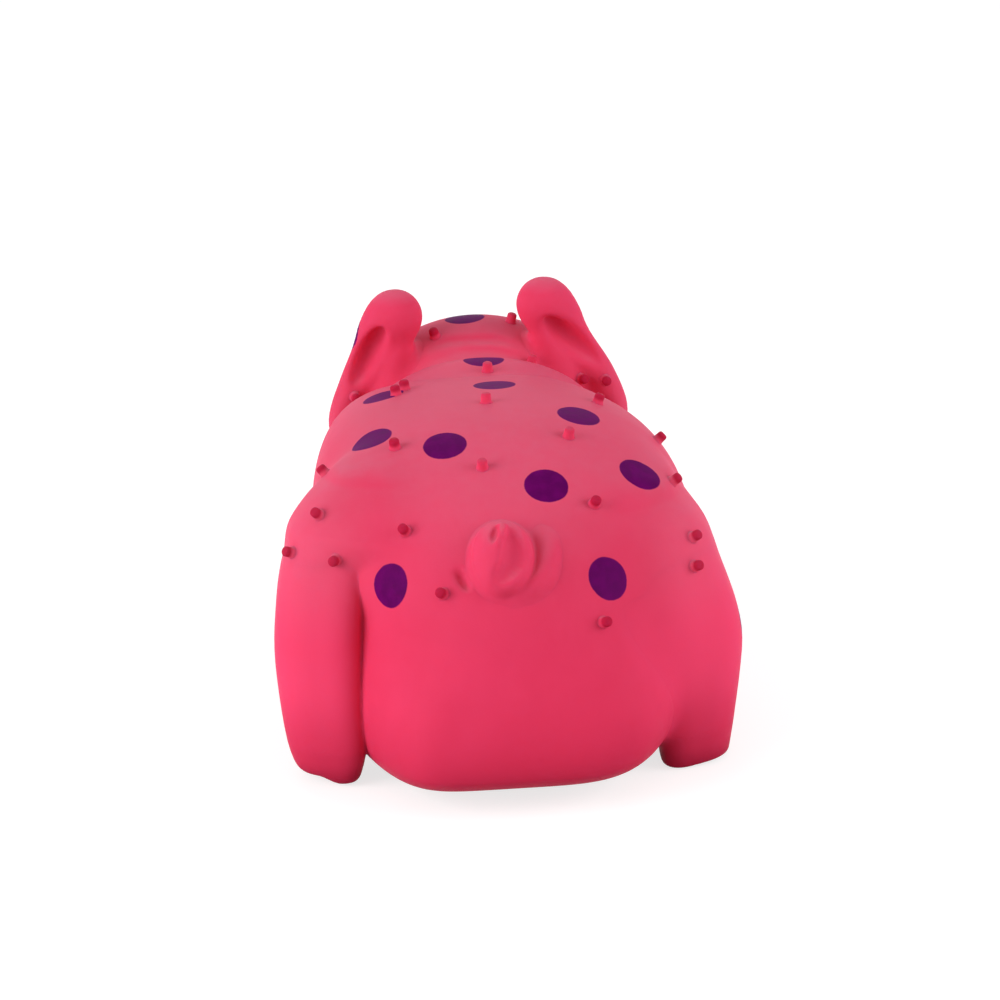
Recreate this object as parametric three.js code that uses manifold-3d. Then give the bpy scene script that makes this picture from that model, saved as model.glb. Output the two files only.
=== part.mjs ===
// Squeaky pig dog toy: a hollow latex skin stuffed with fibre, with a reed squeaker plugged into its belly.
// Millimetres, +Z up, nose towards +Y. The pig lies on its belly and its four feet at z = 0.
import * as THREE from "three";
import { mergeVertices } from "three/addons/utils/BufferGeometryUtils.js";
import Module from "manifold-3d";

const wasm = await Module();
wasm.setup();

// Skin and clearances
const SKIN = 1.8; // latex wall
const GAP = 0.3; // clearance between neighbouring pieces
const REST_CUT = 0.5; // depth of the flat that the belly and the feet rest on

// Torso: a swelling body along Y, flatter below, whose hindquarters lean forward
const TORSO_LENGTH = 165;
const TORSO_WIDTH = 122;
const TORSO_MIDDLE_Z = 46; // height of its widest line
const TORSO_RISE = 56; // from that line up to the back
const TORSO_SHOULDER_LEAN = 6; // how much the back climbs towards the neck
const SHOULDER_WIDENING = 0.15; // share by which it is wider towards the neck
const END_NARROWING = 0.1; // share by which it is narrower towards both ends
const RUMP_LEAN = 0.34; // how far the hindquarters lean forward for each millimetre of height
const RUMP_LEAN_HEIGHT = 12; // above which they lean
const RUMP_LEAN_SHARE = 0.24; // share of the half length, forward of the middle, where the lean begins
const FLANK_TO_BELLY = [-0.04, 0.38]; // shares of the way down between which the flank becomes the belly

// Pressed part of the back
const PRESS_LENGTH = 76;
const PRESS_WIDTH = 50;
const PRESS_Y = -2;

// Head, neck sleeve and snout
const HEAD_LENGTH = 76;
const HEAD_WIDTH = 88;
const HEAD_HEIGHT = 78;
const HEAD_MIDDLE_Z = 66;
const HEAD_OVERLAP = 20; // how far the head reaches back over the front of the torso
const NECK_RADIUS = 28; // round sleeve that joins head and torso
const NECK_INSET = 18; // from the front of the torso back to the middle of the neck
const NECK_Z = 64;
const NECK_BORE = 14; // radius of the passage for the stuffing
const NOD_UP = 6; // degrees
const NOD_DOWN = 6; // degrees
const SNOUT_WIDTH = 40;
const SNOUT_HEIGHT = 33;
const SNOUT_PROUD = 8; // in front of the face
const SNOUT_ROOT = 14; // depth inside the head
const SNOUT_EDGE = 3; // rounding of the front edge
const SNOUT_Z = 56;
const NOSTRIL_RADIUS = 3;
const NOSTRIL_DEPTH = 3;
const NOSTRIL_SPACING = 15;

// Ears: cupped rims that run from the crown down to the cheek, hollow behind
const EAR_CROWN_X = 24;
const EAR_CROWN_Z = 109;
const EAR_CHEEK_X = 44;
const EAR_CHEEK_Z = 76;
const EAR_SET_BACK = 8; // behind the middle of the head
const EAR_HEIGHT = 24; // across the lobe, away from the head
const EAR_THICKNESS = 15;
const EAR_HOLLOW_RIM = 4; // left round the hollow
const EAR_HOLLOW_WALL = 5; // left in front of the hollow
const EAR_ROOT_DEPTH = 5; // of the hinge line, from the middle of the rim towards the head
const EAR_LOBE_SHARES = [-0.25, 0.3, 1.1]; // places along the rim from the crown to the cheek
const EAR_HOLLOW_SHARES = [0, 0.3, 0.85];
const EAR_HINGE_SHARE = 0.4;
const EAR_TAPER = 0.5; // size at the cheek as a share of the size at the crown
const EAR_FOLD_FRONT = 20; // degrees
const EAR_FOLD_BACK = 10; // degrees

// Legs: hip and foot inwards from the side of the torso, the leg inwards from that end of the torso,
// heights of the hip and the hinge, and half sizes across X and Y
const LEFT_HIND_LEG = {
  end: -1,
  endInset: 46.5,
  hipInset: 15.5,
  footInset: 4,
  hipZ: 90,
  hingeZ: 60,
  thigh: [13.5, 20],
  shin: [13.5, 22],
  foot: [12, 17],
};
const RIGHT_HIND_LEG = { ...LEFT_HIND_LEG, hipInset: 18, hipZ: 82, thigh: [12, 19] };
const FRONT_LEG = {
  end: 1,
  endInset: 38.5,
  hipInset: 11,
  footInset: 12,
  hipZ: 56,
  hingeZ: 42,
  thigh: [13, 20],
  shin: [12.5, 17],
  foot: [11.5, 15],
};
const LEG_SPLAY = 15; // degrees outwards
const CLEFT_WIDTH = 3; // slit of the cloven foot
const CLEFT_HEIGHT = 9;
const CLEFT_DEPTH = 8;

// Tail: a tapering curl that stands on the rump
const TAIL_INSET = 5; // from the back of the torso forward to the middle of the curl
const TAIL_ROLL = -3; // degrees from the spine
const TAIL_CURL_RADIUS = 9;
const TAIL_ROOT_RADIUS = 6;
const TAIL_TIP_RADIUS = 1.8;
const TAIL_TURNS = 1;
const TAIL_PROUD = 6; // from the middle of its root to the middle of its tip, away from the rump
const TAIL_SWING = 25; // degrees away from the rump

// Nubs: small round pegs
const NUB_RADIUS = 1.6;
const NUB_TIP_RADIUS = 1;
const NUB_HEIGHT = 3.2;
const NUB_ROOT = 1.5; // sunk into the skin

// Squeaker in the belly
const PORT_INSET = 45; // from the front of the torso back to the middle of the port
const PORT_RADIUS = 11;
const SEAT_Z = 8; // underside of the ledge that the flange bears on
const LEDGE = 3; // thickness of that ledge
const FLANGE_RADIUS = 14;
const FLANGE_THICKNESS = 1.5;
const BOSS_WALL = 3; // round the flange
const CUP_WALL = 1.5;
const CUP_HEIGHT = 20;
const SNAP_BEAD = 0.8; // proud of the cup, above the ledge
const LID_THICKNESS = 1.5;
const LID_SPIGOT = 2;
const FELT_THICKNESS = 2;
const FELT_RIM = 1.2;
const REED_TUBE_RADIUS = 4.2;
const REED_TUBE_HEIGHT = 13;
const REED_BORE = 2; // radius
const REED_FLAT = 1.4; // cut off the side of the tube that the reed lies on
const REED_SLOT = 2; // width of the slit under the reed
const REED_WIDTH = 4;
const REED_THICKNESS = 0.4;
const REED_LENGTH = 11;
const COLLAR_HEIGHT = 3;
const COLLAR_WALL = 1.2;
const AIR_HOLE_RADIUS = 0.6;
const AIR_HOLES = 5;

// Fineness of the round shapes
const SIDES = {
  torso: 28,
  head: 24,
  fill: 18,
  limb: 14,
  ball: 20,
  nub: 6,
  plastic: 24,
  hole: 8,
  tail: 9,
  snout: 18,
};
const RINGS = { torso: 16, head: 12, fill: 9, limb: 9, tail: 22, curl: 12 };
const ROUND_ENDS = { ear: 0.25, leg: 0.2, tail: 0.1 }; // shares of the length that are rounded off

const latex = new THREE.MeshStandardMaterial({ color: 0xe04a70, roughness: 0.5, metalness: 0 });
const fibre = new THREE.MeshStandardMaterial({ color: 0xf2efe8, roughness: 1, metalness: 0 });
const whitePlastic = new THREE.MeshStandardMaterial({ color: 0xf0f0ec, roughness: 0.45, metalness: 0 });
const reedPlastic = new THREE.MeshStandardMaterial({ color: 0xd8b060, roughness: 0.3, metalness: 0 });
const felt = new THREE.MeshStandardMaterial({ color: 0xb8b4ac, roughness: 1, metalness: 0 });

const radians = THREE.MathUtils.degToRad;
const vector = (x, y, z) => new THREE.Vector3(x, y, z);

// A closed surface as a solid that can be cut and joined
function solidOf(geometry) {
  const bare = geometry.clone();
  bare.deleteAttribute("normal");
  bare.deleteAttribute("uv");
  const merged = mergeVertices(bare);
  const vertProperties = new Float32Array(merged.attributes.position.array);
  const triVerts = new Uint32Array(merged.index.array);
  return new wasm.Manifold(new wasm.Mesh({ numProp: 3, vertProperties, triVerts }));
}

// The surface of a solid, moved so that the given point becomes its origin
function surfaceOf(solid, origin) {
  const mesh = solid.getMesh();
  const geometry = new THREE.BufferGeometry();
  geometry.setAttribute("position", new THREE.BufferAttribute(mesh.vertProperties, 3));
  geometry.setIndex(new THREE.BufferAttribute(mesh.triVerts, 1));
  geometry.translate(-origin.x, -origin.y, -origin.z);
  geometry.computeVertexNormals();
  return geometry;
}

// Rings of points between two poles, as one closed surface
function closedSurface(firstPole, rings, lastPole) {
  const sides = rings[0].length;
  const points = [firstPole, ...rings.flat(), lastPole];
  const last = points.length - 1;
  const corner = (ring, side) => 1 + ring * sides + (side % sides);
  const index = [];
  for (let side = 0; side < sides; side += 1) {
    index.push(0, corner(0, side + 1), corner(0, side));
    for (let ring = 0; ring < rings.length - 1; ring += 1) {
      const [a, b] = [corner(ring, side), corner(ring, side + 1)];
      const [c, d] = [corner(ring + 1, side + 1), corner(ring + 1, side)];
      index.push(a, b, c, a, c, d);
    }
    index.push(last, corner(rings.length - 1, side), corner(rings.length - 1, side + 1));
  }
  const geometry = new THREE.BufferGeometry().setFromPoints(points);
  geometry.setIndex(index);
  return geometry;
}

// The torso and the head are eggs along Y: round in front and behind, with a flatter lower half
const TORSO = {
  middle: vector(0, 0, TORSO_MIDDLE_Z),
  halfWidth: TORSO_WIDTH / 2,
  halfLength: TORSO_LENGTH / 2,
  rise: TORSO_RISE,
  lean: TORSO_SHOULDER_LEAN,
  drop: TORSO_MIDDLE_Z + REST_CUT,
  widening: SHOULDER_WIDENING,
  narrowing: END_NARROWING,
  rumpLean: RUMP_LEAN,
  fullness: [0.59, 0.46],
  bellyFullness: 0.25,
  squareness: 2.7,
  bellySquareness: [4, 2],
};
const HEAD = {
  middle: vector(0, (TORSO_LENGTH + HEAD_LENGTH) / 2 - HEAD_OVERLAP, HEAD_MIDDLE_Z),
  halfWidth: HEAD_WIDTH / 2,
  halfLength: HEAD_LENGTH / 2,
  rise: HEAD_HEIGHT / 2,
  lean: 0,
  drop: HEAD_HEIGHT / 2,
  widening: 0,
  narrowing: 0,
  rumpLean: 0,
  fullness: [0.85, 0.85],
  bellyFullness: 0.85,
  squareness: 2.1,
  bellySquareness: [2.2, 2.2],
};

// Signed power, which keeps the four quarters of a rounded section alike
const bulge = (value, squareness) => Math.sign(value) * Math.abs(value) ** (2 / squareness);

// A point of the hindquarters moved forward with its height, more and more towards the back
function leaning(point, slope) {
  const start = (RUMP_LEAN_SHARE * TORSO_LENGTH) / 2;
  const behind = THREE.MathUtils.smoothstep(start - point.y, 0, start + TORSO_LENGTH / 2);
  point.y += slope * Math.max(point.z - RUMP_LEAN_HEIGHT, 0) * behind;
  return point;
}

// A point of an egg: along runs from 0 at its back to PI at its front, and roll is 0 at the top and
// clockwise from behind
function eggPoint(shape, along, roll, inset = 0) {
  const forward = -Math.cos(along);
  const upper = Math.cos(roll) >= 0;
  const low = THREE.MathUtils.smoothstep(-Math.cos(roll), ...FLANK_TO_BELLY);
  const back = THREE.MathUtils.lerp(...shape.fullness, (1 + forward) / 2);
  const belly = THREE.MathUtils.lerp(...shape.bellySquareness, (1 + forward) / 2);
  const squareness = THREE.MathUtils.lerp(shape.squareness, belly, low);
  const fullness = THREE.MathUtils.lerp(back, shape.bellyFullness, low);
  const girth = Math.max(Math.sin(along), 0) ** fullness;
  const spread = 1 + shape.widening * forward - shape.narrowing * forward ** 2;
  const width = (shape.halfWidth - inset) * spread * girth;
  const rise = (shape.rise + shape.lean * forward - inset) * girth;
  const drop = (shape.drop - inset) * girth;
  return leaning(vector(
    shape.middle.x + width * bulge(Math.sin(roll), squareness),
    shape.middle.y + (shape.halfLength - inset) * forward,
    shape.middle.z + (upper ? rise : drop) * bulge(Math.cos(roll), squareness),
  ), shape.rumpLean);
}

function egg(shape, sides, ringCount, inset = 0) {
  const rings = [];
  for (let ring = 1; ring < ringCount; ring += 1) {
    const along = (Math.PI / 2) * (1 - Math.cos((Math.PI * ring) / ringCount));
    const points = [];
    for (let side = 0; side < sides; side += 1) {
      points.push(eggPoint(shape, along, (2 * Math.PI * side) / sides, inset));
    }
    rings.push(points);
  }
  return closedSurface(eggPoint(shape, 0, 0, inset), rings, eggPoint(shape, Math.PI, 0, inset));
}

// The place and outward direction on an egg at a distance forward of its middle and a roll in degrees
function eggSpot(shape, forward, rollDegrees) {
  const along = Math.acos(-forward / shape.halfLength);
  const roll = radians(rollDegrees);
  const step = 0.01;
  const place = eggPoint(shape, along, roll);
  const lengthwise = eggPoint(shape, along + step, roll).sub(eggPoint(shape, along - step, roll));
  const round = eggPoint(shape, along, roll + step).sub(eggPoint(shape, along, roll - step));
  return { place, outward: round.cross(lengthwise).normalize() };
}

// A limb that swells and tapers along a smooth line through its stations, with round ends.
// Each station has a place and its half sizes, the first along the given direction and the second across it.
function limb(stations, direction, { sides, ringCount, roundEnds, inset = 0 }) {
  const line = new THREE.CatmullRomCurve3(stations.map((station) => station.place));
  const sizes = new THREE.CatmullRomCurve3(stations.map((station) => vector(...station.half, 0)));
  const rings = [];
  const reach = 1 - (2 * inset) / line.getLength();
  const share = (turn) => 0.5 - (0.5 * reach * Math.cos(turn));
  for (let ring = 1; ring < ringCount; ring += 1) {
    const at = share((Math.PI * ring) / ringCount);
    const fromEnd = Math.min(at - share(0), share(Math.PI) - at) / roundEnds;
    const rounding = fromEnd >= 1 ? 1 : Math.sqrt(1 - (1 - fromEnd) ** 2);
    const place = line.getPoint(at);
    const tangent = line.getTangent(at);
    const half = sizes.getPoint(at);
    const first = direction.clone().addScaledVector(tangent, -direction.dot(tangent)).normalize();
    const second = tangent.clone().cross(first);
    const points = [];
    for (let side = 0; side < sides; side += 1) {
      const turn = (2 * Math.PI * side) / sides;
      const point = place.clone();
      point.addScaledVector(first, (half.x - inset) * rounding * Math.cos(turn));
      point.addScaledVector(second, (half.y - inset) * rounding * Math.sin(turn));
      points.push(point);
    }
    rings.push(points);
  }
  return closedSurface(line.getPoint(share(0)), rings, line.getPoint(share(Math.PI)));
}

function ball(center, radius) {
  const geometry = new THREE.SphereGeometry(radius, SIDES.ball, SIDES.ball / 2);
  return geometry.translate(center.x, center.y, center.z);
}

// A cylinder between two heights on a vertical axis
function post(x, y, radius, low, high, sides) {
  const geometry = new THREE.CylinderGeometry(radius, radius, high - low, sides);
  return geometry.rotateX(Math.PI / 2).translate(x, y, (low + high) / 2);
}

function block(low, high) {
  const size = high.clone().sub(low);
  const middle = low.clone().add(high).multiplyScalar(0.5);
  return new THREE.BoxGeometry(size.x, size.y, size.z).translate(middle.x, middle.y, middle.z);
}

// A turned piece on the squeaker's vertical axis, from a closed outline of [radius, height] corners
function turned(corners, axisY) {
  const outline = corners.map(([radius, height]) => new THREE.Vector2(radius, height));
  const geometry = new THREE.LatheGeometry(outline, SIDES.plastic);
  return geometry.rotateX(Math.PI / 2).translate(0, axisY, 0);
}

// A surface turned about a hinge by an angle in degrees
function swung(geometry, hinge, degrees) {
  const back = new THREE.Matrix4().makeTranslation(hinge.place);
  const turn = new THREE.Matrix4().makeRotationAxis(hinge.axis, radians(degrees));
  const there = new THREE.Matrix4().makeTranslation(hinge.place.clone().negate());
  return geometry.clone().applyMatrix4(back.multiply(turn).multiply(there));
}

// All the room that a fixed neighbour takes up as seen from a hinged piece through its range
function roomOf(neighbour, hinge) {
  const middle = (hinge.from + hinge.to) / 2;
  const [first, second, third] = [hinge.from, middle, hinge.to]
    .map((degrees) => solidOf(swung(neighbour, hinge, -degrees)));
  return first.add(second).add(third);
}

const FAR = 400; // larger than the toy
const below = (height) => solidOf(block(vector(-FAR, -FAR, -FAR), vector(FAR, FAR, height)));

// Nubs of the torso, as [share of its half length forward of the middle, roll in degrees from the spine]
const TORSO_NUBS = [
  [-0.96, 60],
  [-0.93, -39],
  [-0.68, -33],
  [-0.63, 24],
  [-0.42, -3],
  [-0.17, 15],
  [-0.11, -24],
  [0.1, -86],
  [0.1, 86],
  [0.11, -54],
  [0.11, 54],
  [0.18, 0],
  [0.22, 26],
  [0.42, -72],
  [0.42, 72],
  [0.64, -20],
];
// Nubs of the head, placed the same way
const HEAD_NUBS = [
  [-0.63, 8],
  [-0.11, -6],
  [0.32, -30],
  [0.32, 30],
  [0.42, -62],
  [0.42, 62],
];

function nub({ place, outward }) {
  const outline = [
    new THREE.Vector2(0, -NUB_ROOT),
    new THREE.Vector2(NUB_RADIUS, -NUB_ROOT),
    new THREE.Vector2(NUB_RADIUS, 0),
    new THREE.Vector2(NUB_TIP_RADIUS, NUB_HEIGHT - NUB_TIP_RADIUS / 2),
    new THREE.Vector2(0, NUB_HEIGHT),
  ];
  const geometry = new THREE.LatheGeometry(outline, SIDES.nub);
  const stand = new THREE.Quaternion().setFromUnitVectors(vector(0, 1, 0), outward);
  return solidOf(geometry.applyQuaternion(stand).translate(place.x, place.y, place.z));
}

function withNubs(skin, shape, spots) {
  let result = skin;
  for (const [forward, roll] of spots) {
    result = result.add(nub(eggSpot(shape, forward * shape.halfLength, roll)));
  }
  return result;
}

// Hinges of the flexing pieces, with their ranges in degrees
const neck = {
  place: vector(0, TORSO_LENGTH / 2 - NECK_INSET, NECK_Z),
  axis: vector(1, 0, 0),
  from: -NOD_DOWN,
  to: NOD_UP,
};

// A point of a leg, inwards from one side of the torso
function legPlace(leg, side, inset, height) {
  const x = side * (TORSO.halfWidth - inset);
  return leaning(vector(x, leg.end * (TORSO.halfLength - leg.endInset), height), RUMP_LEAN);
}

function legHinge(leg, side) {
  return {
    place: legPlace(leg, side, (leg.hipInset + leg.footInset) / 2, leg.hingeZ),
    axis: vector(0, -side, 0),
    from: 0,
    to: LEG_SPLAY,
  };
}

const portY = TORSO_LENGTH / 2 - PORT_INSET;
const ledgeTop = SEAT_Z + LEDGE;
const cupBottom = SEAT_Z - GAP - FLANGE_THICKNESS;
const cupTop = cupBottom + CUP_HEIGHT;
const lidTop = cupTop + GAP + LID_THICKNESS;
const squeakerTop = lidTop + GAP + FELT_THICKNESS;
const bossRadius = FLANGE_RADIUS + GAP + BOSS_WALL;

const pig = new THREE.Group();

// Adds a piece whose mesh has the given point as its origin
function addPiece(name, solid, material, origin = vector(0, 0, 0), parent = pig) {
  const mesh = new THREE.Mesh(surfaceOf(solid, origin), material);
  mesh.name = name;
  parent.add(mesh);
}

// A group whose origin lies on a hinge
function hingedGroup(hinge, parent = pig, parentPlace = vector(0, 0, 0)) {
  const group = new THREE.Group();
  group.position.copy(hinge.place).sub(parentPlace);
  parent.add(group);
  return group;
}

const torsoEgg = (inset) => egg(TORSO, SIDES.torso, RINGS.torso, inset);
const headEgg = (inset) => egg(HEAD, SIDES.head, RINGS.head, inset);
const torsoCore = (inset) => solidOf(egg(TORSO, SIDES.fill, RINGS.fill, inset)).subtract(below(inset));

// An upright oval through the back, larger by the given margin
function pressOval(margin) {
  const geometry = new THREE.CylinderGeometry(1, 1, FAR, SIDES.torso).rotateX(Math.PI / 2);
  geometry.scale(PRESS_WIDTH / 2 + margin, PRESS_LENGTH / 2 + margin, 1);
  return solidOf(geometry.translate(0, PRESS_Y, TORSO_MIDDLE_Z + FAR / 2));
}

// Torso skin with its belly port and neck opening, and the part of the back that gives way
function makeTorso() {
  const outer = withNubs(solidOf(torsoEgg(0)), TORSO, TORSO_NUBS);
  const boss = solidOf(post(0, portY, bossRadius, 0, ledgeTop, SIDES.plastic));
  const seat = solidOf(post(0, portY, FLANGE_RADIUS + GAP, -FAR, SEAT_Z, SIDES.plastic));
  const port = solidOf(post(0, portY, PORT_RADIUS, -FAR, ledgeTop + GAP, SIDES.plastic));
  const socket = solidOf(ball(neck.place, (NECK_RADIUS + GAP) / Math.cos(Math.PI / SIDES.ball)));
  const skin = outer.subtract(torsoCore(SKIN)).add(boss.intersect(solidOf(torsoEgg(SKIN / 2))));
  const shell = skin.subtract(seat).subtract(port).subtract(socket).subtract(below(0));
  addPiece("torso_skin", shell.subtract(pressOval(GAP)), latex);
  addPiece("back_skin", shell.intersect(pressOval(0)), latex);

  const column = solidOf(post(0, portY, bossRadius + GAP, -FAR, squeakerTop + GAP, SIDES.plastic));
  addPiece("torso_fill", torsoCore(SKIN + GAP).subtract(column).subtract(socket), fibre);
}

function makeSnout() {
  const outline = [
    new THREE.Vector2(0, -SNOUT_ROOT),
    new THREE.Vector2(1 - SNOUT_EDGE / SNOUT_WIDTH, -SNOUT_ROOT),
    new THREE.Vector2(1, SNOUT_PROUD - SNOUT_EDGE),
    new THREE.Vector2(1 - (2 * SNOUT_EDGE) / SNOUT_WIDTH, SNOUT_PROUD),
    new THREE.Vector2(0, SNOUT_PROUD),
  ];
  const geometry = new THREE.LatheGeometry(outline, SIDES.snout);
  geometry.scale(SNOUT_WIDTH / 2, 1, SNOUT_HEIGHT / 2);
  return geometry.translate(0, HEAD.middle.y + HEAD.halfLength, SNOUT_Z);
}

// Head skin with its snout and the sleeve that reaches into the torso
function makeHead() {
  const sleeve = solidOf(ball(neck.place, NECK_RADIUS));
  const bore = solidOf(new THREE.CylinderGeometry(NECK_BORE, NECK_BORE, 2 * NECK_RADIUS, SIDES.limb)
    .translate(0, neck.place.y - NECK_RADIUS, neck.place.z));
  let outer = withNubs(solidOf(headEgg(0)), HEAD, HEAD_NUBS).add(solidOf(makeSnout()));
  outer = outer.subtract(roomOf(torsoEgg(-GAP), neck)).add(sleeve);
  for (const side of [-1, 1]) {
    const nostril = ball(vector(0, 0, 0), 1).scale(NOSTRIL_RADIUS, NOSTRIL_DEPTH, NOSTRIL_RADIUS);
    const front = HEAD.middle.y + HEAD.halfLength + SNOUT_PROUD;
    outer = outer.subtract(solidOf(nostril.translate((side * NOSTRIL_SPACING) / 2, front, SNOUT_Z)));
  }
  const inside = (inset) => solidOf(egg(HEAD, SIDES.fill, RINGS.fill, inset))
    .subtract(roomOf(torsoEgg(-GAP - inset), neck))
    .add(solidOf(ball(neck.place, NECK_RADIUS - inset)));
  const group = hingedGroup(neck);
  addPiece("head_skin", outer.subtract(inside(SKIN)).subtract(bore), latex, neck.place, group);
  addPiece("head_fill", inside(SKIN + GAP), fibre, neck.place, group);
  return group;
}

// An ear as a thick rim round a hollow that opens backwards
function makeEar(label, side, head) {
  const y = HEAD.middle.y - EAR_SET_BACK;
  const crown = vector(side * EAR_CROWN_X, y, EAR_CROWN_Z);
  const cheek = vector(side * EAR_CHEEK_X, y, EAR_CHEEK_Z);
  const along = cheek.clone().sub(crown);
  const away = vector(side * -along.z, 0, Math.abs(along.x)).normalize();
  const rimPlace = (share) => crown.clone().addScaledVector(along, share);
  const rim = (shares, height, shift) => solidOf(limb(shares.map((share, station) => {
    const taper = station === shares.length - 1 ? EAR_TAPER : 1;
    return {
      place: rimPlace(share).add(vector(0, -shift, 0)),
      half: [(taper * height) / 2, (taper * EAR_THICKNESS) / 2],
    };
  }), away, { sides: SIDES.limb, ringCount: RINGS.limb, roundEnds: ROUND_ENDS.ear }));
  const lobe = rim(EAR_LOBE_SHARES, EAR_HEIGHT, 0);
  const hollow = rim(EAR_HOLLOW_SHARES, EAR_HEIGHT - 2 * EAR_HOLLOW_RIM, EAR_HOLLOW_WALL);
  const hinge = {
    place: rimPlace(EAR_HINGE_SHARE).addScaledVector(away, -EAR_ROOT_DEPTH),
    axis: along.clone().normalize().multiplyScalar(-side),
    from: -EAR_FOLD_BACK,
    to: EAR_FOLD_FRONT,
  };
  const ear = lobe.subtract(hollow).subtract(roomOf(headEgg(-GAP), hinge));
  addPiece(`${label}_ear`, ear, latex, hinge.place, hingedGroup(hinge, head, neck.place));
}

// A hollow leg with a solid cloven foot, and its stuffing
function makeLeg(label, pair, leg, side) {
  const shape = { sides: SIDES.limb, ringCount: RINGS.limb, roundEnds: ROUND_ENDS.leg };
  const form = (inset) => solidOf(limb([
    { place: legPlace(leg, side, leg.hipInset, leg.hipZ), half: leg.thigh },
    { place: legPlace(leg, side, leg.footInset, leg.hipZ / 2), half: leg.shin },
    { place: legPlace(leg, side, leg.footInset, -REST_CUT), half: leg.foot },
  ], vector(1, 0, 0), { ...shape, inset }));
  const toe = legPlace(leg, side, leg.footInset, 0).add(vector(0, leg.foot[1], 0));
  const cleft = solidOf(block(
    vector(toe.x - CLEFT_WIDTH / 2, toe.y - CLEFT_DEPTH, -FAR),
    vector(toe.x + CLEFT_WIDTH / 2, FAR, CLEFT_HEIGHT),
  ));
  const hinge = legHinge(leg, side);
  const group = hingedGroup(hinge);
  const room = roomOf(torsoEgg(-GAP), hinge);
  const inside = (inset) => form(inset).subtract(below(CLEFT_HEIGHT + inset));
  const shell = form(0).subtract(inside(SKIN)).subtract(cleft).subtract(below(0)).subtract(room);
  addPiece(`${label}_${pair}_leg`, shell, latex, hinge.place, group);
  addPiece(`${label}_${pair}_fill`, inside(SKIN + GAP).subtract(room), fibre, hinge.place, group);
}

// The tail's curl, which stands on the rump and swings away from it about its root
function makeTail() {
  const { place, outward } = eggSpot(TORSO, TAIL_INSET - TORSO.halfLength, TAIL_ROLL);
  const right = vector(1, 0, 0).addScaledVector(outward, -outward.x).normalize();
  const up = outward.clone().cross(right);
  const rootHeight = TAIL_ROOT_RADIUS / 2;
  const stations = [];
  for (let step = 0; step <= RINGS.curl; step += 1) {
    const share = step / RINGS.curl;
    const turn = -2 * Math.PI * TAIL_TURNS * share;
    const radius = THREE.MathUtils.lerp(TAIL_CURL_RADIUS, TAIL_TIP_RADIUS, share);
    const thick = THREE.MathUtils.lerp(TAIL_ROOT_RADIUS, TAIL_TIP_RADIUS, share);
    const center = place.clone().addScaledVector(outward, rootHeight + TAIL_PROUD * share);
    center.addScaledVector(right, radius * Math.cos(turn)).addScaledVector(up, radius * Math.sin(turn));
    stations.push({ place: center, half: [thick, thick] });
  }
  const shape = { sides: SIDES.tail, ringCount: RINGS.tail, roundEnds: ROUND_ENDS.tail };
  const hinge = { place: stations[0].place, axis: up, from: 0, to: TAIL_SWING };
  const tail = solidOf(limb(stations, outward, shape)).subtract(roomOf(torsoEgg(-GAP), hinge));
  addPiece("tail", tail, latex, hinge.place, hingedGroup(hinge));
}

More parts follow.
